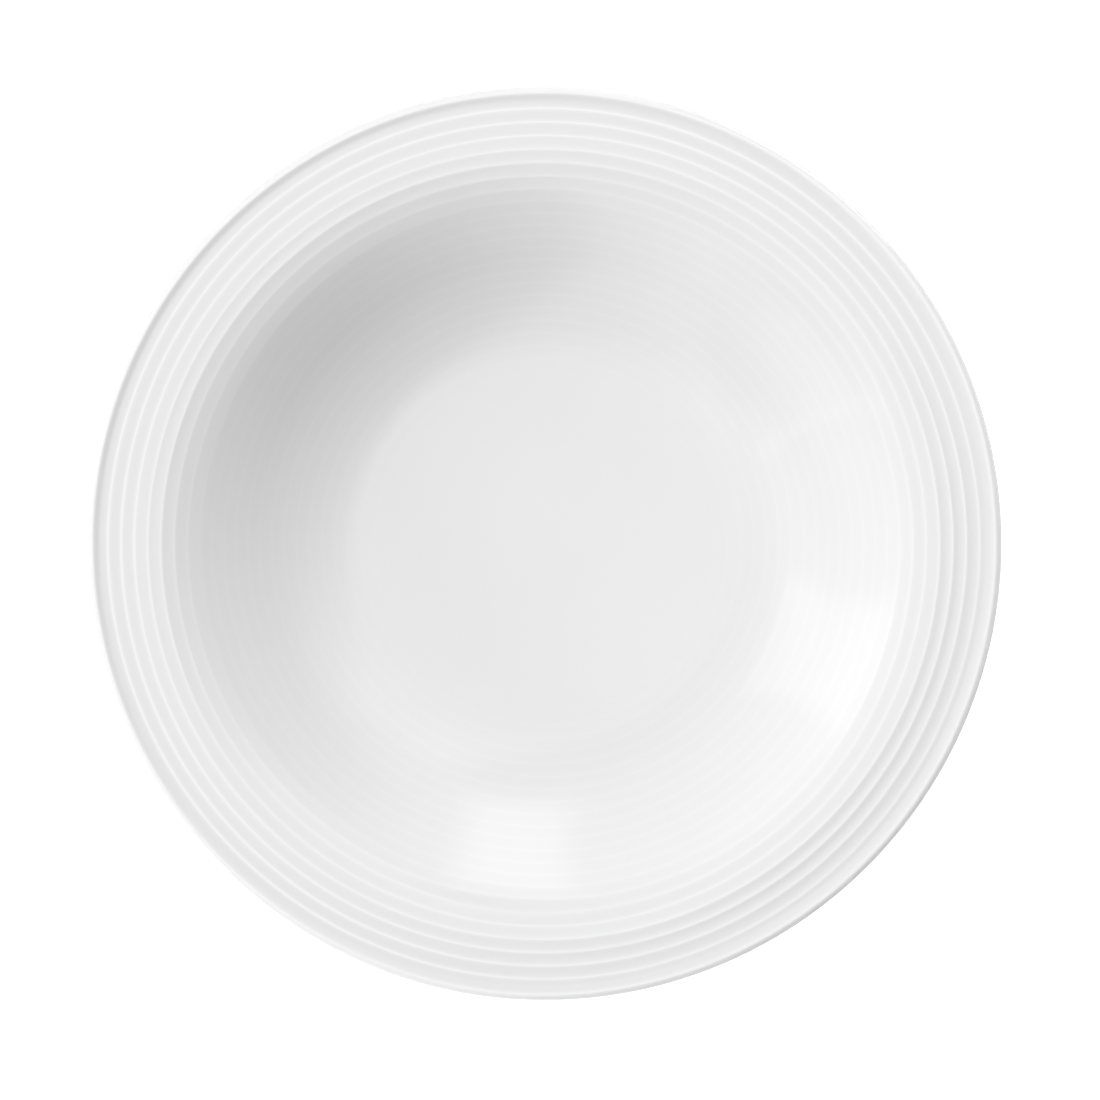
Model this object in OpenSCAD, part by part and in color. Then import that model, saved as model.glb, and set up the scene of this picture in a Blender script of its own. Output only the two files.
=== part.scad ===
// Soup plate of white glazed porcelain, with fine concentric flutes on its rim and in its well.
// It stands on its foot ring at z = 0, with its axis on Z. Lengths are in millimetres, angles in degrees.
// The sizes are over the glaze, and the porcelain lies one glaze thickness inside them.

/* [Plate] */
// Diameter over the outside of the lip
plate_d = 230; // [214:1:260]
// Thickness of the rounded lip
lip_t = 3.5; // [2.8:0.1:4.6]
// Height of the lip above the crests of the flutes beside it
lip_rise = 0.5; // [0.2:0.05:0.8]
// Sharpness of the lip, whose inner side is steepest at 1/sharpness of the first flute's width from its crest
lip_sharpness = 5; // [3:1:7]
// Thickness of the side of the well, from which the rim thins out to the lip
wall_t = 4.4; // [3.6:0.1:5.6]

/* [Well] */
// Diameter where the level rim begins to turn down into the well
well_d = 202; // [190:1:212]
// Depth from the rim to the middle of the floor
well_depth = 23; // [19:0.5:27]
// Slope of the straight side
side_angle = 34; // [30:0.5:37]
// Radius of the shoulder between the rim and the side
shoulder_r = 28; // [20:1:36]
// Radius of the bend between the side and the floor
bend_r = 55; // [45:1:65]
// Radius of the shallow dish of the floor, round its flat middle
dish_r = 480; // [350:10:580]
// Slope of the dish where it meets the bend
dish_angle = 4.4; // [3.4:0.1:5.3]
// Thickness in the middle of the floor
floor_t = 4.2; // [3.6:0.1:5.4]

/* [Flutes] */
// Width of the first flute, from the lip's crest to the next crest
lip_flute_w = 3.85; // [3.2:0.05:4.6]
// Distance between crests along the surface, from the second flute on
flute_pitch = 3.36; // [2.6:0.02:4.2]
// Depth of the flutes on the rim, below their crests
flute_depth = 0.11; // [0.03:0.01:0.2]
// Number of flutes, counted from the lip
flute_count = 24; // [18:1:28]
// Depth of the flutes beside the lip, as a share of their full depth
lip_share = 0.1; // [0:0.05:1]
// Number of flutes over which the depth grows from the lip
rise_count = 3; // [1:1:4]
// Number of flutes on the rim, counted from the lip
deep_count = 5; // [5:1:8]
// Number of flutes over which the depth falls on the shoulder
fall_count = 4; // [1:1:6]
// Number of flutes over which the depth fades to nothing on the floor
fade_count = 6; // [1:1:8]
// Depth of the flutes in the well, as a share of their depth on the rim
side_share = 0.12; // [0:0.02:1]

/* [Foot] */
// Diameter of the foot ring at the middle of its tread
foot_d = 112; // [100:1:124]
// Width of the tread between the two sides of the foot
tread_w = 2.6; // [1.8:0.1:4]
// Width of the bevel along both edges of the tread
tread_edge = 0.4; // [0.2:0.05:0.6]
// Lean of the foot's sides from upright
foot_draft = 15; // [5:1:25]
// Radius of the fillet between the foot and the back
foot_fillet = 3; // [1.5:0.1:4]
// Height of the base inside the foot, above the tread
recess = 3.6; // [2.6:0.1:3.8]
// How much lower the middle of the base hangs
base_sag = 1.2; // [0:0.1:2]
// Radius of the fillet between the foot and the base
base_fillet = 1.6; // [0.8:0.1:2]

/* [Glaze] */
// Thickness of the glaze
glaze_t = 0.25; // [0.15:0.05:0.5]
// Height up the foot's sides that is wiped clean of glaze
bare_h = 0.9; // [0.7:0.1:1.4]

/* [Hidden] */
$fn = 180;

// Steps across the first flute, across each other flute and along each plain curve
lip_steps = 12;
flute_steps = 6;
curve_steps = 12;

// Heights of the floor and the rim, and the radius of the lip's crest
floor_z = recess - base_sag + floor_t;
rim_z = floor_z + well_depth;
lip_r = (plate_d - lip_t)/2;

// The straight side takes up the depth that the arcs leave, and the flat floor the width that they leave
side_rise = well_depth - dish_r*(1 - cos(dish_angle)) - shoulder_r*(1 - cos(side_angle))
    - bend_r*(cos(dish_angle) - cos(side_angle));
side_run = side_rise/tan(side_angle);
floor_r = well_d/2 - side_run - dish_r*sin(dish_angle) - shoulder_r*sin(side_angle)
    - bend_r*(sin(side_angle) - sin(dish_angle));

// The point of an arc where its surface has a given slope. A negative radius has its centre below the surface
function arc_point(centre, radius, slope) = centre + radius*[sin(slope), -cos(slope)];
function arc_length(radius, turn) = radius*turn*PI/180;

// Centres of the arcs, and the top of the straight side
shoulder_c = [well_d/2, rim_z - shoulder_r];
side_top = arc_point(shoulder_c, -shoulder_r, side_angle);
dish_c = [floor_r, floor_z + dish_r];
bend_c = arc_point(dish_c, dish_r - bend_r, dish_angle);

// Where each stretch of the face ends, as a distance along it from the lip's crest to the axis
rim_end = lip_r - well_d/2;
shoulder_end = rim_end + arc_length(shoulder_r, side_angle);
side_end = shoulder_end + side_run/cos(side_angle);
bend_end = side_end + arc_length(bend_r, side_angle - dish_angle);
dish_end = bend_end + arc_length(dish_r, dish_angle);
floor_end = dish_end + floor_r;

// Slope of the smooth face, and its point and normal, at a distance from the lip's crest
function slope_at(s) = lookup(s, [[0, 0], [rim_end, 0], [shoulder_end, side_angle], [side_end, side_angle],
    [bend_end, dish_angle], [dish_end, 0]]);
function smooth_at(s) =
    s < rim_end ? [lip_r - s, rim_z] :
    s < shoulder_end ? arc_point(shoulder_c, -shoulder_r, slope_at(s)) :
    s < side_end ? side_top - (s - shoulder_end)*[cos(side_angle), sin(side_angle)] :
    s < bend_end ? arc_point(bend_c, bend_r, slope_at(s)) :
    s < dish_end ? arc_point(dish_c, dish_r, slope_at(s)) :
    [floor_end - s, floor_z];
function normal_at(s) = [-sin(slope_at(s)), cos(slope_at(s))];

// Flutes are counted from the lip: a count's whole part says which flute, and its fraction how far across
function place_of(count) = count < 1 ? count*lip_flute_w : lip_flute_w + (count - 1)*flute_pitch;
function count_at(s) = s < lip_flute_w ? s/lip_flute_w : 1 + (s - lip_flute_w)/flute_pitch;
function share_of(count) = lookup(count, [[0, lip_share], [rise_count, 1], [deep_count, 1],
    [deep_count + fall_count, side_share], [flute_count - fade_count, side_share], [flute_count, 0]]);
function hollow_of(across) = 4*across*(1 - across);
flutes_end = place_of(flute_count);

// Height of the fluted face above the smooth one. The lip swells up across the first flute
function swell_of(across) = pow(1 - across, lip_sharpness)*(1 + lip_sharpness*across);
function swell_at(s) = s < lip_flute_w ? swell_of(s/lip_flute_w) : 0;
function relief_at(s) = let (count = count_at(s))
    lip_rise*swell_at(s) - flute_depth*share_of(count)*hollow_of(count - floor(count));

// The face from the lip to the axis, a given depth under its surface
face_places = concat(
    [for (i = [0:lip_steps - 1]) place_of(i/lip_steps)],
    [for (i = [flute_steps:flute_count*flute_steps]) place_of(i/flute_steps)],
    [for (i = [1:curve_steps]) flutes_end + (floor_end - flutes_end)*i/curve_steps]);
function face(depth) = [for (s = face_places) smooth_at(s) + (relief_at(s) - depth)*normal_at(s)];

// The round edge, from the bottom of the lip to its crest
lip_c = [lip_r, rim_z + lip_rise - lip_t/2];
function edge(depth) = [for (i = [1:curve_steps - 1]) let (turn = 180*i/curve_steps - 90)
    lip_c + (lip_t/2 - depth)*[cos(turn), sin(turn)]];

// Sides of the foot: a point of the outer or the inner side, a given way up it from the tread
tread_out = [foot_d/2 + tread_w/2, 0];
tread_in = [foot_d/2 - tread_w/2, 0];
out_up = [sin(foot_draft), cos(foot_draft)];
in_up = [-sin(foot_draft), cos(foot_draft)];
out_way = [cos(foot_draft), -sin(foot_draft)];
in_way = [-cos(foot_draft), -sin(foot_draft)];
function out_side(up, depth) = tread_out + up*out_up + (glaze_t - depth)*out_way;
function in_side(up, depth) = tread_in + up*in_up + (glaze_t - depth)*in_way;

// The outer fillet touches the foot's side and the back of the bend
root_reach = bend_r + wall_t + foot_fillet;
root_from = out_side(0, -foot_fillet) - bend_c;
root_fall = root_from*out_up;
root_up = -root_fall - sqrt(root_fall*root_fall - root_from*root_from + root_reach*root_reach);
root_c = out_side(root_up, -foot_fillet);
root_slope = atan2(root_c.x - bend_c.x, bend_c.y - root_c.y);
root_place = side_end + arc_length(bend_r, side_angle - root_slope);

// The back from the top of the foot's fillet to the bottom of the lip
function thickness_at(s) = lookup(s, [[0, lip_t - lip_rise], [side_end, wall_t]]);
back_steps = 3*curve_steps;
back_places = [for (i = [back_steps:-1:0]) root_place*i/back_steps];
function back(depth) = [for (s = back_places) smooth_at(s) - (thickness_at(s) - depth)*normal_at(s)];

// A fillet from one direction to another, without its last point
function fillet(centre, radius, from, to) = [for (i = [0:curve_steps - 1])
    let (turn = from + (to - from)*i/curve_steps) centre + radius*[cos(turn), sin(turn)]];

// The outside: from the wiped line on the foot up the back, over the lip and across the face to the axis
function outside(depth) = concat(
    [out_side(bare_h, depth)],
    fillet(root_c, foot_fillet + depth, 180 - foot_draft, 90 + root_slope),
    back(depth), edge(depth), face(depth));

// The base: from the wiped line inside the foot to the axis
base_up = (recess - base_fillet + (glaze_t + base_fillet)*sin(foot_draft))/cos(foot_draft);
base_c = in_side(base_up, -base_fillet);
function base(depth) = concat(
    [in_side(bare_h, depth)],
    fillet(base_c, base_fillet + depth, foot_draft, 90),
    [for (i = [curve_steps:-1:0])
        [base_c.x*i/curve_steps, recess + depth - base_sag*(1 + cos(180*i/curve_steps))/2]]);

// The bare tread, from the inner side of the foot to the outer side
tread = [in_side(tread_edge, glaze_t), tread_in + [tread_edge, 0],
    tread_out - [tread_edge, 0], out_side(tread_edge, glaze_t)];

function reversed(list) = [for (i = [len(list) - 1:-1:0]) list[i]];

// The pressed and fired body, bare only on the tread of its foot
module porcelain_body() {
    color("#ece9e1")
    rotate_extrude()
    polygon(concat(outside(glaze_t), reversed(base(glaze_t)), tread));
}

// The glass coat fused over the face, the lip and the back, down to the wiped foot
module glaze_coat() {
    color("#f3f3f1")
    rotate_extrude()
    polygon(concat(outside(0), reversed(outside(glaze_t))));
}

// The glass coat of the base, which the wiped foot parts from the rest
module base_glaze() {
    color("#f0f0ee")
    rotate_extrude()
    polygon(concat(base(0), reversed(base(glaze_t))));
}

porcelain_body();
glaze_coat();
base_glaze();
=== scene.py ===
import math

import bpy
import numpy as np
from mathutils import Matrix, Vector


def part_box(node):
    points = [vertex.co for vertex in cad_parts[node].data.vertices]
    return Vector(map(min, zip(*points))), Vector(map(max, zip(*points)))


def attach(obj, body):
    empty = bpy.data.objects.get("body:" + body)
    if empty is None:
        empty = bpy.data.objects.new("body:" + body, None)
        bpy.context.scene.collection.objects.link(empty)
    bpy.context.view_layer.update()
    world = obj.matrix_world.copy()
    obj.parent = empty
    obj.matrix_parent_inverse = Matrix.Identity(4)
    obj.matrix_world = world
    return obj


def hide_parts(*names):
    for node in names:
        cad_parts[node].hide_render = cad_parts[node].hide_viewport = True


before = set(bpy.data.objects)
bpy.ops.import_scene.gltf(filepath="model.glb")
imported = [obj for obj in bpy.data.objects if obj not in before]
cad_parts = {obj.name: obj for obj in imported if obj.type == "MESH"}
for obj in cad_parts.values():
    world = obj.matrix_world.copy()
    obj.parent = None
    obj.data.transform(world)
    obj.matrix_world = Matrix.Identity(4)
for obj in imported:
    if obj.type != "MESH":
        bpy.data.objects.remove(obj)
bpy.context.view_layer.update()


# Porcelain body
# Hard porcelain, pressed in one piece with its flutes and foot ring in a steel die, fired white and dense.
# Only the tread of the foot ring stays bare: its glaze is wiped off so that the plate can stand in the kiln.

# Sizes in millimetres, over the glaze
MM = 0.001
plate_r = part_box("glaze_coat")[1].x / MM
lip_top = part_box("glaze_coat")[1].z / MM
lip_t = 3.5
lip_rise = 0.5
lip_sharpness = 5
wall_t = 4.4
well_r = 101
well_depth = 23
side_angle = math.radians(34)
shoulder_r = 28
bend_r = 55
dish_r = 480
dish_angle = math.radians(4.4)
foot_r = 56
tread_w = 2.6
tread_round = 0.5
foot_draft = math.radians(15)
foot_fillet = 3
recess = 3.6
base_sag = 1.2
base_fillet = 1.6
glaze_t = 0.25
bare_h = 0.9

# Flutes: their depth grows from the lip, falls on the shoulder and fades out on the floor
first_flute = 3.85
flute_pitch = 3.36
flute_depth = 0.11
flute_count = 24
lip_share = 0.1
rise_count = 3
deep_count = 5
fall_count = 4
fade_count = 6
side_share = 0.12

# How thin the glaze lies on plain stretches, and how much painted highlight they get, from 0 in the hollows
# to 1 on the crests
plain_thin = 0.32
# How far the thin glaze and its painted highlight run over the edge of the lip, and the flutes between which
# the whitened crests give out
lip_thin = 1.6
thin_from = 1.5
thin_to = 8.0

# Points closer together than this are one point
weld = 0.001

lip_r = plate_r - lip_t / 2
rim_z = lip_top - lip_rise
floor_z = rim_z - well_depth


def along(angle):
    """Unit vector at an angle from the level, in the plane of the section."""
    return np.array((math.cos(angle), math.sin(angle)))


def arc_point(centre, radius, slope):
    """Point of an arc where its surface has a slope. A negative radius has its centre below the surface."""
    return centre + radius * np.array((math.sin(slope), -math.cos(slope)))


# The straight side takes up the depth that the arcs leave, and the flat floor the width that they leave
side_rise = well_depth - dish_r * (1 - math.cos(dish_angle)) - shoulder_r * (1 - math.cos(side_angle))
side_rise -= bend_r * (math.cos(dish_angle) - math.cos(side_angle))
side_run = side_rise / math.tan(side_angle)
floor_r = well_r - side_run - dish_r * math.sin(dish_angle) - shoulder_r * math.sin(side_angle)
floor_r -= bend_r * (math.sin(side_angle) - math.sin(dish_angle))

shoulder_c = np.array((well_r, rim_z - shoulder_r))
side_top = arc_point(shoulder_c, -shoulder_r, side_angle)
dish_c = np.array((floor_r, floor_z + dish_r))
bend_c = arc_point(dish_c, dish_r - bend_r, dish_angle)

# Where each stretch of the face ends, as a distance along it from the lip's crest to the axis
rim_end = lip_r - well_r
shoulder_end = rim_end + shoulder_r * side_angle
side_end = shoulder_end + side_run / math.cos(side_angle)
bend_end = side_end + bend_r * (side_angle - dish_angle)
dish_end = bend_end + dish_r * dish_angle
floor_end = dish_end + floor_r


def slope_at(s):
    """Slope of the smooth face at a distance from the lip's crest."""
    return np.interp(s, (rim_end, shoulder_end, side_end, bend_end, dish_end),
                     (0, side_angle, side_angle, dish_angle, 0))


def smooth_at(s):
    """Point of the smooth face, before the flutes are pressed into it."""
    if s < rim_end:
        return np.array((lip_r - s, rim_z))
    if s < shoulder_end:
        return arc_point(shoulder_c, -shoulder_r, slope_at(s))
    if s < side_end:
        return side_top - (s - shoulder_end) * along(side_angle)
    if s < bend_end:
        return arc_point(bend_c, bend_r, slope_at(s))
    if s < dish_end:
        return arc_point(dish_c, dish_r, slope_at(s))
    return np.array((floor_end - s, floor_z))


def normal_at(s):
    return along(slope_at(s) + math.pi / 2)


def flute_place(count):
    """Distance from the lip's crest, where count is a number of flutes."""
    return count * first_flute if count < 1 else first_flute + (count - 1) * flute_pitch


# A section is a list of (point, normal, place). A place is the distance from the lip's crest, inwards along
# the face. It is negative on the edge of the lip, and NO_PLACE is for every point beyond that
NO_PLACE = -100
NO_NORMAL = np.zeros(2)


def face(depth, flute_steps, floor_steps):
    """The face from the axis to the lip, a depth under the surface. The first flute has twice the steps."""
    counts = [i / flute_steps for i in range(flute_count * flute_steps, flute_steps - 1, -1)]
    counts += [*np.linspace(1, 0, 2 * flute_steps + 1)[1:]]
    places = [*np.linspace(floor_end, flute_place(flute_count), floor_steps, endpoint=False)]
    places += [flute_place(count) for count in counts]
    return [(smooth_at(s) - depth * normal_at(s), normal_at(s), s) for s in places]


def arc(centre, radius, start, end, steps):
    """Points round an arc, without its two ends."""
    turns = np.linspace(start, end, steps + 1)[1:-1]
    return [(centre + radius * along(turn), NO_NORMAL, NO_PLACE) for turn in turns]


def plain(*points):
    return [(np.asarray(point, float), NO_NORMAL, NO_PLACE) for point in points]


# The round edge of the lip, and the sides of the foot, which lean out towards the back and the base
lip_c = (lip_r, lip_top - lip_t / 2)
out_up = along(math.pi / 2 - foot_draft)
out_way = along(-foot_draft)
in_up = along(math.pi / 2 + foot_draft)
in_way = along(math.pi + foot_draft)


def out_side(up, depth):
    return np.array((foot_r + tread_w / 2, 0)) + up * out_up + (glaze_t - depth) * out_way


def in_side(up, depth):
    return np.array((foot_r - tread_w / 2, 0)) + up * in_up + (glaze_t - depth) * in_way


# The foot's outer fillet touches its side and the back of the bend, and the inner one its side and the base
root_reach = bend_r + wall_t + foot_fillet
root_from = out_side(0, -foot_fillet) - bend_c
root_fall = root_from @ out_up
root_up = -root_fall - math.sqrt(root_fall ** 2 - root_from @ root_from + root_reach ** 2)
root_c = out_side(root_up, -foot_fillet)
root_slope = math.atan2(root_c[0] - bend_c[0], bend_c[1] - root_c[1])
root_place = side_end + bend_r * (side_angle - root_slope)
base_up = (recess - base_fillet + (glaze_t + base_fillet) * math.sin(foot_draft)) / math.cos(foot_draft)
base_c = in_side(base_up, -base_fillet)


def back(depth, steps):
    """The edge and the back, from the lip's crest to the foot's outer fillet."""
    edge_r = lip_t / 2 - depth
    turns = np.linspace(0, math.pi, steps // 2 + 1)[1:-1]
    section = [(lip_c + edge_r * along(math.pi / 2 - turn), NO_NORMAL, -turn * lip_t / 2) for turn in turns]
    for s in np.linspace(0, root_place, steps):
        thickness = np.interp(s, (0, side_end), (lip_t - lip_rise, wall_t))
        section += plain(smooth_at(s) - (thickness - depth) * normal_at(s))
    return section


def out_root(depth, steps):
    return arc(root_c, foot_fillet + depth, math.pi / 2 + root_slope, math.pi - foot_draft, steps)


def in_root(depth, steps):
    return arc(base_c, base_fillet + depth, foot_draft, math.pi / 2, steps)


def base(depth, steps):
    """The base from the foot's inner fillet to the axis. Its middle hangs a little lower."""
    ways = np.linspace(1, 0, steps)
    sags = base_sag * (1 + np.cos(math.pi * ways)) / 2
    return plain(*[(base_c[0] * way, recess + depth - sag) for way, sag in zip(ways, sags)])


def tread(steps):
    """The bare tread with its two worn edges, from the outer side of the foot to the inner one."""
    out_edge = foot_r + tread_w / 2 - tread_round
    in_edge = foot_r - tread_w / 2 + tread_round
    section = arc((out_edge, tread_round), tread_round, -foot_draft, -math.pi / 2, steps)
    section += plain((out_edge, 0), (in_edge, 0))
    return section + arc((in_edge, tread_round), tread_round, -math.pi / 2, -math.pi + foot_draft, steps)


def add(tree, kind, inputs=None, **settings):
    """Adds a node with its settings, and sets or links its inputs."""
    node = tree.nodes.new(kind)
    for name, value in settings.items():
        setattr(node, name, value)
    for name, value in (inputs or {}).items():
        if isinstance(value, bpy.types.NodeSocket):
            tree.links.new(value, node.inputs[name])
        else:
            node.inputs[name].default_value = value
    return node


def new_tree(name, **sizes):
    """A Geometry Nodes tree that takes a geometry and named sizes, and gives a geometry."""
    tree = bpy.data.node_groups.new(name, "GeometryNodeTree")
    tree.interface.new_socket("Geometry", in_out="INPUT", socket_type="NodeSocketGeometry")
    for label, kind in sizes.items():
        tree.interface.new_socket(label, in_out="INPUT", socket_type="NodeSocket" + kind)
    tree.interface.new_socket("Geometry", in_out="OUTPUT", socket_type="NodeSocketGeometry")
    return tree, tree.nodes.new("NodeGroupInput").outputs


# The die's flutes, pressed into the points of a section along their normals
pressing, size = new_tree("pressed_flutes", First="Float", Pitch="Float", Depth="Float", Count="Float",
                          LipShare="Float", Grow="Float", Deep="Float", Fall="Float", Share="Float",
                          Fade="Float", Rise="Float", Sharpness="Float", PlainThin="Float",
                          LipThinEnd="Float", ThinFrom="Float", ThinTo="Float")
place = add(pressing, "GeometryNodeInputNamedAttribute", {"Name": "place"}).outputs["Attribute"]
on_face = add(pressing, "ShaderNodeMath", {0: place, 1: -weld * MM}, operation="GREATER_THAN").outputs[0]
in_first = add(pressing, "ShaderNodeMapRange", {"Value": place, "From Max": size["First"]}).outputs[0]
past_first = add(pressing, "ShaderNodeMath", {0: place, 1: size["First"]}, operation="SUBTRACT").outputs[0]
past_count = add(pressing, "ShaderNodeMath", {0: past_first, 1: size["Pitch"]}, operation="DIVIDE").outputs[0]
past_count = add(pressing, "ShaderNodeMath", {0: past_count, 1: 0.0}, operation="MAXIMUM").outputs[0]
count = add(pressing, "ShaderNodeMath", {0: in_first, 1: past_count}, operation="ADD").outputs[0]
# Across a flute the hollow is an arc, 0 at the crests and 1 in the middle
across = add(pressing, "ShaderNodeMath", {0: count}, operation="FRACT").outputs[0]
off_middle = add(pressing, "ShaderNodeMath", {0: across, 1: 2.0, 2: -1.0},
                 operation="MULTIPLY_ADD").outputs[0]
crest = add(pressing, "ShaderNodeMath", {0: off_middle, 1: off_middle}, operation="MULTIPLY").outputs[0]
hollow = add(pressing, "ShaderNodeMath", {0: 1.0, 1: crest}, operation="SUBTRACT").outputs[0]
# The depth grows from the lip, falls on the shoulder to its share in the well, and fades there to nothing
grown = add(pressing, "ShaderNodeMapRange", {"Value": count, "From Max": size["Grow"],
            "To Min": size["LipShare"], "To Max": 1.0}).outputs[0]
fall_end = add(pressing, "ShaderNodeMath", {0: size["Deep"], 1: size["Fall"]}, operation="ADD").outputs[0]
fallen = add(pressing, "ShaderNodeMapRange", {"Value": count, "From Min": size["Deep"], "From Max": fall_end,
             "To Min": 1.0, "To Max": size["Share"]}).outputs[0]
fade_start = add(pressing, "ShaderNodeMath", {0: size["Count"], 1: size["Fade"]},
                 operation="SUBTRACT").outputs[0]
faded = add(pressing, "ShaderNodeMapRange", {"Value": count, "From Min": fade_start,
            "From Max": size["Count"], "To Min": 1.0, "To Max": 0.0}).outputs[0]
strength = add(pressing, "ShaderNodeMath", {0: fallen, 1: faded}, operation="MULTIPLY").outputs[0]
pressed = add(pressing, "ShaderNodeMath", {0: hollow, 1: strength}, operation="MULTIPLY").outputs[0]
pressed = add(pressing, "ShaderNodeMath", {0: pressed, 1: grown}, operation="MULTIPLY").outputs[0]
pressed = add(pressing, "ShaderNodeMath", {0: pressed, 1: size["Depth"]}, operation="MULTIPLY").outputs[0]
# The lip swells up across the first flute, steepest 1/n of the way from its crest: (1 - x)^n (1 + n x)
from_lip = add(pressing, "ShaderNodeMath", {0: 1.0, 1: in_first}, operation="SUBTRACT").outputs[0]
flank = add(pressing, "ShaderNodeMath", {0: from_lip, 1: size["Sharpness"]}, operation="POWER").outputs[0]
rounding = add(pressing, "ShaderNodeMath", {0: in_first, 1: size["Sharpness"], 2: 1.0},
               operation="MULTIPLY_ADD").outputs[0]
swell = add(pressing, "ShaderNodeMath", {0: flank, 1: rounding}, operation="MULTIPLY").outputs[0]
risen = add(pressing, "ShaderNodeMath", {0: swell, 1: size["Rise"]}, operation="MULTIPLY").outputs[0]
relief = add(pressing, "ShaderNodeMath", {0: risen, 1: pressed}, operation="SUBTRACT").outputs[0]
relief = add(pressing, "ShaderNodeMath", {0: relief, 1: on_face}, operation="MULTIPLY").outputs[0]
facing = add(pressing, "GeometryNodeInputNamedAttribute", {"Name": "facing"},
             data_type="FLOAT_VECTOR").outputs["Attribute"]
offset = add(pressing, "ShaderNodeVectorMath", {0: facing, "Scale": relief}, operation="SCALE").outputs[0]
moved = add(pressing, "GeometryNodeSetPosition", {"Geometry": size["Geometry"], "Offset": offset}).outputs[0]
# The glaze pools in the hollows and runs thin over the lip and the crests, less so towards the well.
# The whiter lip and crests are partly a painted highlight, drawn into the colour.
peak = add(pressing, "ShaderNodeMath", {0: crest, 1: crest}, operation="MULTIPLY").outputs[0]
beyond = add(pressing, "ShaderNodeMath", {0: peak, 1: size["PlainThin"]}, operation="SUBTRACT").outputs[0]
drained = add(pressing, "ShaderNodeMapRange", {"Value": count, "From Min": size["ThinFrom"],
              "From Max": size["ThinTo"], "To Min": 1.0, "To Max": size["Share"]}).outputs[0]
drained = add(pressing, "ShaderNodeMath", {0: drained, 1: faded}, operation="MULTIPLY").outputs[0]
beyond = add(pressing, "ShaderNodeMath", {0: beyond, 1: drained}, operation="MULTIPLY").outputs[0]
over_lip = add(pressing, "ShaderNodeMapRange", {"Value": place, "From Min": size["LipThinEnd"],
               "From Max": 0.0}).outputs[0]
thin = add(pressing, "ShaderNodeMath", {0: beyond, 1: over_lip, 2: size["PlainThin"]},
           operation="MULTIPLY_ADD").outputs[0]
stored = add(pressing, "GeometryNodeStoreNamedAttribute", {"Geometry": moved, "Name": "thin", "Value": thin})
add(pressing, "NodeGroupOutput", {"Geometry": stored.outputs[0]})

# The turned form: every ring of a grid takes its radius and height from one point of the section
turning, size = new_tree("turned_form", Steps="Int", Material="Material")
points = add(turning, "GeometryNodeAttributeDomainSize",
             {"Geometry": size["Geometry"]}).outputs["Point Count"]
ring_size = add(turning, "FunctionNodeIntegerMath", {0: size["Steps"], 1: 1}, operation="ADD").outputs[0]
grid = add(turning, "GeometryNodeMeshGrid", {"Vertices X": points, "Vertices Y": ring_size}).outputs["Mesh"]
index = add(turning, "GeometryNodeInputIndex").outputs[0]
ring = add(turning, "FunctionNodeIntegerMath", {0: index, 1: ring_size}, operation="DIVIDE_FLOOR").outputs[0]
step = add(turning, "FunctionNodeIntegerMath", {0: index, 1: ring_size}, operation="MODULO").outputs[0]
where = add(turning, "GeometryNodeInputPosition").outputs[0]
section_at = add(turning, "GeometryNodeSampleIndex",
                 {"Geometry": size["Geometry"], "Value": where, "Index": ring},
                 data_type="FLOAT_VECTOR").outputs[0]
# The whitening of the lip and crests, partly thin glaze and partly a painted highlight, goes to every ring
thin = add(turning, "GeometryNodeInputNamedAttribute", {"Name": "thin"}).outputs["Attribute"]
thin_at = add(turning, "GeometryNodeSampleIndex",
              {"Geometry": size["Geometry"], "Value": thin, "Index": ring}).outputs[0]
share = add(turning, "ShaderNodeMath", {0: step, 1: size["Steps"]}, operation="DIVIDE").outputs[0]
angle = add(turning, "ShaderNodeMath", {0: share, 1: math.tau}, operation="MULTIPLY").outputs[0]
turned = add(turning, "ShaderNodeVectorRotate", {"Vector": section_at, "Angle": angle},
             rotation_type="Z_AXIS").outputs[0]
lathed = add(turning, "GeometryNodeSetPosition", {"Geometry": grid, "Position": turned}).outputs[0]
marked = add(turning, "GeometryNodeStoreNamedAttribute",
             {"Geometry": lathed, "Name": "thin", "Value": thin_at}).outputs[0]
closed = add(turning, "GeometryNodeMergeByDistance", {"Geometry": marked, "Distance": weld * MM}).outputs[0]
smooth = add(turning, "GeometryNodeSetShadeSmooth", {"Geometry": closed}).outputs[0]
real = add(turning, "GeometryNodeRealizeInstances", {"Geometry": smooth}).outputs[0]
made = add(turning, "GeometryNodeSetMaterial", {"Geometry": real, "Material": size["Material"]}).outputs[0]
add(turning, "NodeGroupOutput", {"Geometry": made})


def run_tree(piece, tree, **values):
    """Gives a piece a modifier with a tree and the values of its named inputs."""
    modifier = piece.modifiers.new(tree.name, "NODES")
    modifier.node_group = tree
    for item in tree.interface.items_tree:
        if item.name in values:
            modifier[item.identifier] = values[item.name]


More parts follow.
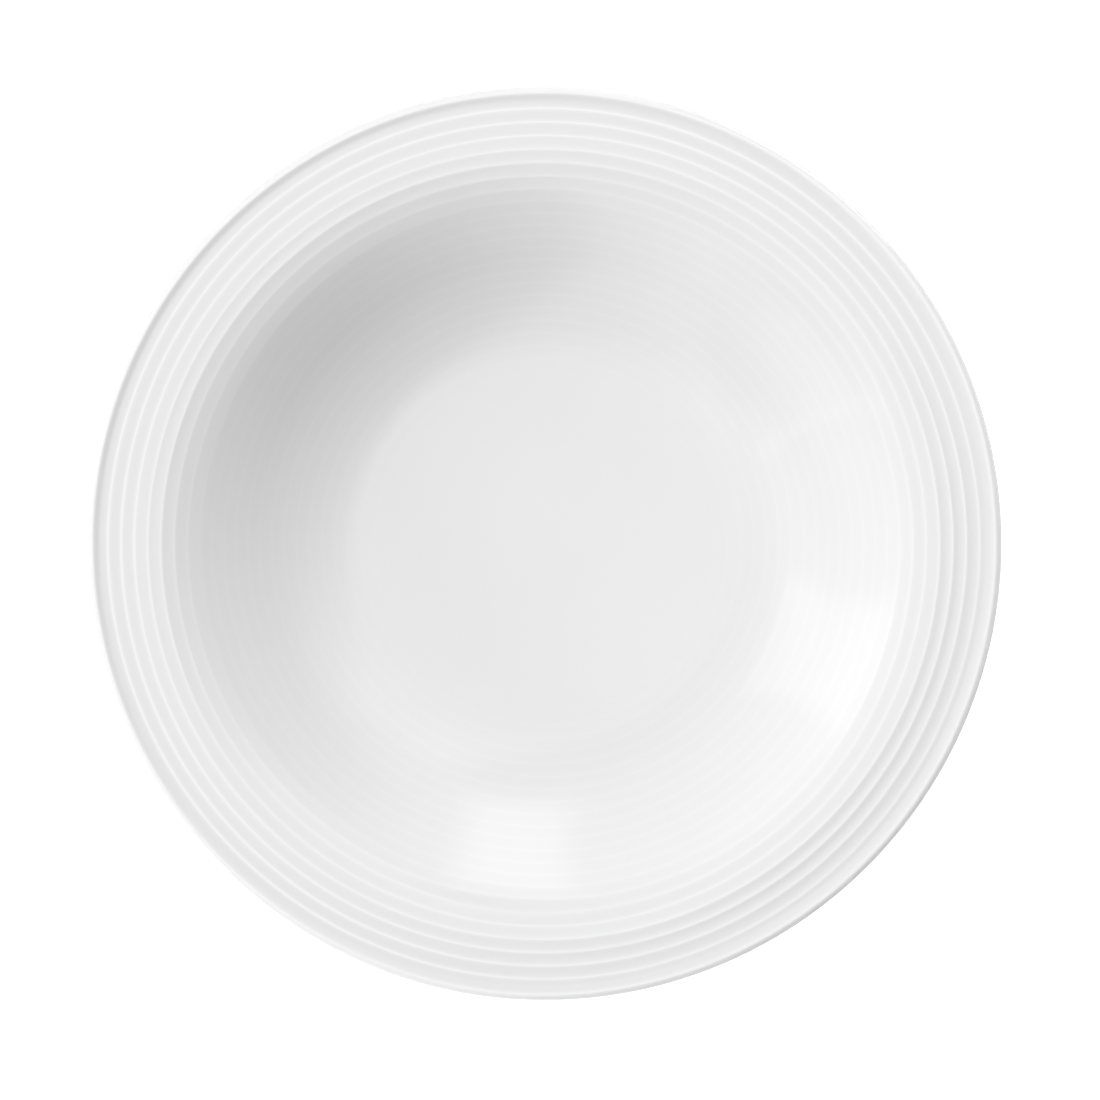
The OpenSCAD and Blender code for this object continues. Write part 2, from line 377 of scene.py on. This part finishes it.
def turned_piece(name, section, material, steps):
    """Presses the flutes into a section, turns it round the axis and gives it as a plain mesh."""
    outline = bpy.data.meshes.new(name)
    outline.from_pydata([(p[0] * MM, 0, p[1] * MM) for p, _, _ in section],
                        [(i, i + 1) for i in range(len(section) - 1)], [])
    places = outline.attributes.new("place", "FLOAT", "POINT")
    places.data.foreach_set("value", [s * MM for _, _, s in section])
    facings = outline.attributes.new("facing", "FLOAT_VECTOR", "POINT")
    facings.data.foreach_set("vector", [x for _, n, _ in section for x in (n[0], 0, n[1])])
    piece = bpy.data.objects.new(name, outline)
    bpy.context.scene.collection.objects.link(piece)
    run_tree(piece, pressing, First=first_flute * MM, Pitch=flute_pitch * MM, Depth=flute_depth * MM,
             Count=float(flute_count), LipShare=lip_share, Grow=float(rise_count), Deep=float(deep_count),
             Fall=float(fall_count), Share=side_share, Fade=float(fade_count), Rise=lip_rise * MM,
             Sharpness=float(lip_sharpness), PlainThin=plain_thin, LipThinEnd=-lip_thin * MM,
             ThinFrom=thin_from, ThinTo=thin_to)
    run_tree(piece, turning, Steps=steps, Material=material)
    evaluated = piece.evaluated_get(bpy.context.evaluated_depsgraph_get())
    piece_mesh = bpy.data.meshes.new_from_object(evaluated)
    piece.modifiers.clear()
    piece.data = piece_mesh
    piece_mesh.name = name
    return piece


def linear(hex_colour):
    """An sRGB hex colour as linear red, green, blue and alpha."""
    parts = [int(hex_colour[i:i + 2], 16) / 255 for i in (1, 3, 5)]
    return *[c / 12.92 if c <= 0.04045 else ((c + 0.055) / 1.055) ** 2.4 for c in parts], 1.0


def new_material(name):
    """A material with only its shader and output, and the socket of the object's own coordinates."""
    material = bpy.data.materials.new(name)
    material.use_nodes = True
    tree = material.node_tree
    tree.nodes.clear()
    shader = add(tree, "ShaderNodeBsdfPrincipled")
    add(tree, "ShaderNodeOutputMaterial", {"Surface": shader.outputs[0]})
    return material, tree, shader, add(tree, "ShaderNodeTexCoord").outputs["Object"]


# Bare hard porcelain, ground smooth on the tread: off-white and matt, with a fine grit and grey rub marks
bare_porcelain, tree, shader, coordinates = new_material("bare_porcelain")
# The grit is drawn coarser than it is, so that it shows
grit_mm = 0.25
grit_height_mm = 0.1
rub_mm = 6
grit = add(tree, "ShaderNodeTexNoise",
           {"Vector": coordinates, "Scale": 1 / (grit_mm * MM), "Detail": 3.0}).outputs["Fac"]
rub = add(tree, "ShaderNodeTexNoise",
          {"Vector": coordinates, "Scale": 1 / (rub_mm * MM), "Detail": 6.0}).outputs["Fac"]
rubbed = add(tree, "ShaderNodeMapRange", {"Value": rub, "From Min": 0.5, "From Max": 0.75}).outputs[0]
colour = add(tree, "ShaderNodeMix", {"Factor": rubbed, "A": linear("#ebe8e0"), "B": linear("#d4d1ca")},
             data_type="RGBA")
tree.links.new(colour.outputs["Result"], shader.inputs["Base Color"])
grain = add(tree, "ShaderNodeBump",
            {"Height": grit, "Strength": 0.35, "Distance": grit_height_mm * MM}).outputs[0]
tree.links.new(grain, shader.inputs["Normal"])
rough = add(tree, "ShaderNodeMapRange", {"Value": grit, "To Min": 0.55, "To Max": 0.75}).outputs[0]
tree.links.new(rough, shader.inputs["Roughness"])

body_section = face(glaze_t, flute_steps=3, floor_steps=10) + back(glaze_t, steps=32)
body_section += out_root(glaze_t, steps=8) + plain(out_side(bare_h, glaze_t)) + tread(steps=6)
body_section += plain(in_side(bare_h, glaze_t)) + in_root(glaze_t, steps=8) + base(glaze_t, steps=12)
body_piece = turned_piece("porcelain", body_section, bare_porcelain, steps=160)
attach(body_piece, "root")
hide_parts("porcelain_body")


# Glaze coat
# A clear glass coat, a quarter of a millimetre thick, sprayed on and fused to the porcelain in the kiln.
# It covers the face, the lip and the back, and ends in a soft edge above the wiped tread.

# Clear feldspar glaze over white porcelain: white and glossy, whiter where it runs thin over the crests,
# partly as a painted highlight on the crests
glaze, tree, shader, coordinates = new_material("glazed_porcelain")
shader.inputs["IOR"].default_value = 1.5
# Whiter crests and lip: partly thin glaze, partly a painted highlight; greyer where the glaze pools
thin = add(tree, "ShaderNodeAttribute", attribute_name="thin").outputs["Fac"]
pooled = add(tree, "ShaderNodeMix", {"Factor": thin, "A": linear("#e4e4e4"), "B": linear("#f5f5f5")},
             data_type="RGBA")
tree.links.new(pooled.outputs["Result"], shader.inputs["Base Color"])
# The glaze lies in faint waves, as glass does that was melted and cooled on a surface
wave_mm = 7
wave_height_mm = 0.006
waves = add(tree, "ShaderNodeTexNoise",
            {"Vector": coordinates, "Scale": 1 / (wave_mm * MM), "Detail": 1.0}).outputs["Fac"]
gloss = add(tree, "ShaderNodeMapRange", {"Value": waves, "To Min": 0.04, "To Max": 0.07}).outputs[0]
tree.links.new(gloss, shader.inputs["Roughness"])
wavy = add(tree, "ShaderNodeBump",
           {"Height": waves, "Strength": 1.0, "Distance": wave_height_mm * MM}).outputs[0]
tree.links.new(wavy, shader.inputs["Normal"])

edge_points = 7


def soft_edge(side, up, out):
    """The round edge where a coat ends on a side of the foot, above its wiped tread."""
    middle = side(bare_h, glaze_t / 2) + up * glaze_t / 2
    turns = np.linspace(0, math.pi, edge_points)
    return plain(*[middle + glaze_t / 2 * (math.cos(t) * out - math.sin(t) * up) for t in turns])


coat_outside = face(0, flute_steps=11, floor_steps=24) + back(0, steps=52) + out_root(0, steps=12)
coat_inside = face(glaze_t, flute_steps=1, floor_steps=8) + back(glaze_t, steps=20)
coat_inside += out_root(glaze_t, steps=6)
coat_section = coat_outside + soft_edge(out_side, out_up, out_way) + coat_inside[::-1]
coat = turned_piece("glaze", coat_section, glaze, steps=200)
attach(coat, "root")
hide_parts("glaze_coat")


# Base glaze
# The same glaze inside the foot ring, which the wiped tread parts from the main coat.
# It is left plain, with no mark of any kind.

base_outside = in_root(0, steps=10) + base(0, steps=16)
base_inside = in_root(glaze_t, steps=8) + base(glaze_t, steps=12)
base_section = base_inside[::-1] + soft_edge(in_side, in_up, in_way)[::-1] + base_outside
base_coat = turned_piece("base_glaze_disc", base_section, glaze, steps=160)
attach(base_coat, "root")
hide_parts("base_glaze")


# Table top and backdrop
# A plain white card that the plate stands on, far wider than the view, and a white screen all round it.

card_r = 3000
card_z = -0.1
screen_top = 700


def seen_directly(tree):
    """1 for rays from the camera and for reflections, 0 for light that falls on the plate."""
    path = add(tree, "ShaderNodeLightPath").outputs
    seen = add(tree, "ShaderNodeMath", {0: path["Is Camera Ray"], 1: path["Is Glossy Ray"]},
               operation="MAXIMUM").outputs[0]
    return add(tree, "ShaderNodeMath", {0: seen, 1: path["Is Transmission Ray"]},
               operation="MAXIMUM").outputs[0]


# White card: it looks a little brighter than its light makes it, so it is white but keeps the plate's shadow
white_card, tree, shader, _ = new_material("white_card")
card_glow = 0.6
shader.inputs["Base Color"].default_value = linear("#f6f6f6")
shader.inputs["Roughness"].default_value = 0.9
shader.inputs["Emission Color"].default_value = linear("#ffffff")
glow = add(tree, "ShaderNodeMath", {0: seen_directly(tree), 1: card_glow}, operation="MULTIPLY").outputs[0]
tree.links.new(glow, shader.inputs["Emission Strength"])

# White screen: a plain white backdrop that throws no light on the plate
white_screen, tree, shader, _ = new_material("white_screen")
shader.inputs["Base Color"].default_value = linear("#000000")
shader.inputs["Specular IOR Level"].default_value = 0.0
shader.inputs["Emission Color"].default_value = linear("#ffffff")
tree.links.new(seen_directly(tree), shader.inputs["Emission Strength"])

card_section = plain((0, card_z), (card_r, card_z))
screen_section = plain((card_r, card_z), (card_r, screen_top))
turned_piece("table_top", card_section, white_card, steps=96)
turned_piece("backdrop", screen_section, white_screen, steps=96)


# Light
# A wide panel over the left and the back lights the plate, with smaller panels in front and above, low lamps
# for its sides and lip, and a little light from the room. Two tall soft boxes, at the left and behind, give
# the highlights in the well, and a narrow strip gives the streak beside them.

world = bpy.data.worlds.new("room")
bpy.context.scene.world = world
world.use_nodes = True
tree = world.node_tree
tree.nodes.clear()
room = add(tree, "ShaderNodeBackground", {"Color": linear("#ffffff"), "Strength": 0.08}).outputs[0]
add(tree, "ShaderNodeOutputWorld", {"Surface": room})


def lamp(name, azimuth, zenith, distance, width, height, soft, power):
    """An area lamp that faces the plate, in degrees, metres and watts. A soft share of it fades to its edges.

    Azimuth runs from +X to +Y, and zenith from +Z down.
    """
    light = bpy.data.lights.new(name, "AREA")
    light.shape = "RECTANGLE"
    light.size = width
    light.size_y = height
    light.energy = power
    light.use_nodes = True
    tree = light.node_tree
    tree.nodes.clear()
    across = add(tree, "ShaderNodeNewGeometry").outputs["Parametric"]
    off_middle = add(tree, "ShaderNodeVectorMath", {0: across, 1: (0.5, 0.5, 0)},
                     operation="SUBTRACT").outputs[0]
    off_middle = add(tree, "ShaderNodeVectorMath", {0: off_middle}, operation="ABSOLUTE").outputs[0]
    sides = add(tree, "ShaderNodeSeparateXYZ", {0: off_middle}).outputs
    fades = [add(tree, "ShaderNodeMapRange", {"Value": side, "From Min": 0.5, "From Max": 0.5 - soft / 2},
                 interpolation_type="SMOOTHSTEP").outputs[0] for side in (sides["X"], sides["Y"])]
    fade = add(tree, "ShaderNodeMath", {0: fades[0], 1: fades[1]}, operation="MULTIPLY").outputs[0]
    emission = add(tree, "ShaderNodeEmission", {"Strength": fade}).outputs[0]
    add(tree, "ShaderNodeOutputLight", {"Surface": emission})
    box = bpy.data.objects.new(name, light)
    turn = Matrix.Rotation(math.radians(azimuth + 90), 4, "Z") @ Matrix.Rotation(math.radians(zenith), 4, "X")
    box.matrix_world = turn @ Matrix.Translation((0, 0, distance))
    bpy.context.scene.collection.objects.link(box)


lamp("soft_box_left", azimuth=163, zenith=48, distance=1.8, width=0.74, height=1.1, soft=0.4, power=2.6)
lamp("soft_box_back", azimuth=85, zenith=54, distance=1.8, width=0.8, height=1.25, soft=0.65, power=4.6)
lamp("wide_panel", azimuth=117, zenith=27, distance=3, width=9.4, height=6.8, soft=0.6, power=246)
lamp("front_panel", azimuth=250, zenith=36, distance=2, width=1.2, height=3.2, soft=0.6, power=10.5)
lamp("top_panel", azimuth=50, zenith=15, distance=3, width=1.4, height=3, soft=0.6, power=12)
lamp("low_lamp_left", azimuth=214, zenith=79, distance=2.2, width=1.2, height=0.7, soft=0.3, power=37)
lamp("low_lamp_right", azimuth=53, zenith=79, distance=2.2, width=1.2, height=0.7, soft=0.3, power=19)
lamp("low_lamp_front", azimuth=315, zenith=88.5, distance=2.2, width=2.4, height=0.08, soft=0.3, power=4)
lamp("strip_left", azimuth=208, zenith=46, distance=1.8, width=0.07, height=1.3, soft=0.2, power=0.16)


# Camera
# It looks straight down on the plate, a little from the right and from behind, as in the photograph.

# Height of the eye above the rim, and how far it leans to the right and back, as a share of that height
view_height = 0.75
lean = Vector((0.0115, 0.0545))
view_centre = Vector((1.7 * MM, -0.7 * MM, rim_z * MM))
camera_data = bpy.data.cameras.new("camera")
camera_data.sensor_width = 36
camera_data.lens = 98
camera = bpy.data.objects.new("camera", camera_data)
eye = Vector((lean.x * view_height, lean.y * view_height, rim_z * MM + view_height))
out = (eye - view_centre).normalized()
right = Vector((0, 1, 0)).cross(out).normalized()
up = out.cross(right)
camera.matrix_world = Matrix.Translation(eye) @ Matrix((right, up, out)).transposed().to_4x4()
bpy.context.scene.collection.objects.link(camera)
bpy.context.scene.camera = camera
bpy.context.scene.view_settings.view_transform = "Standard"
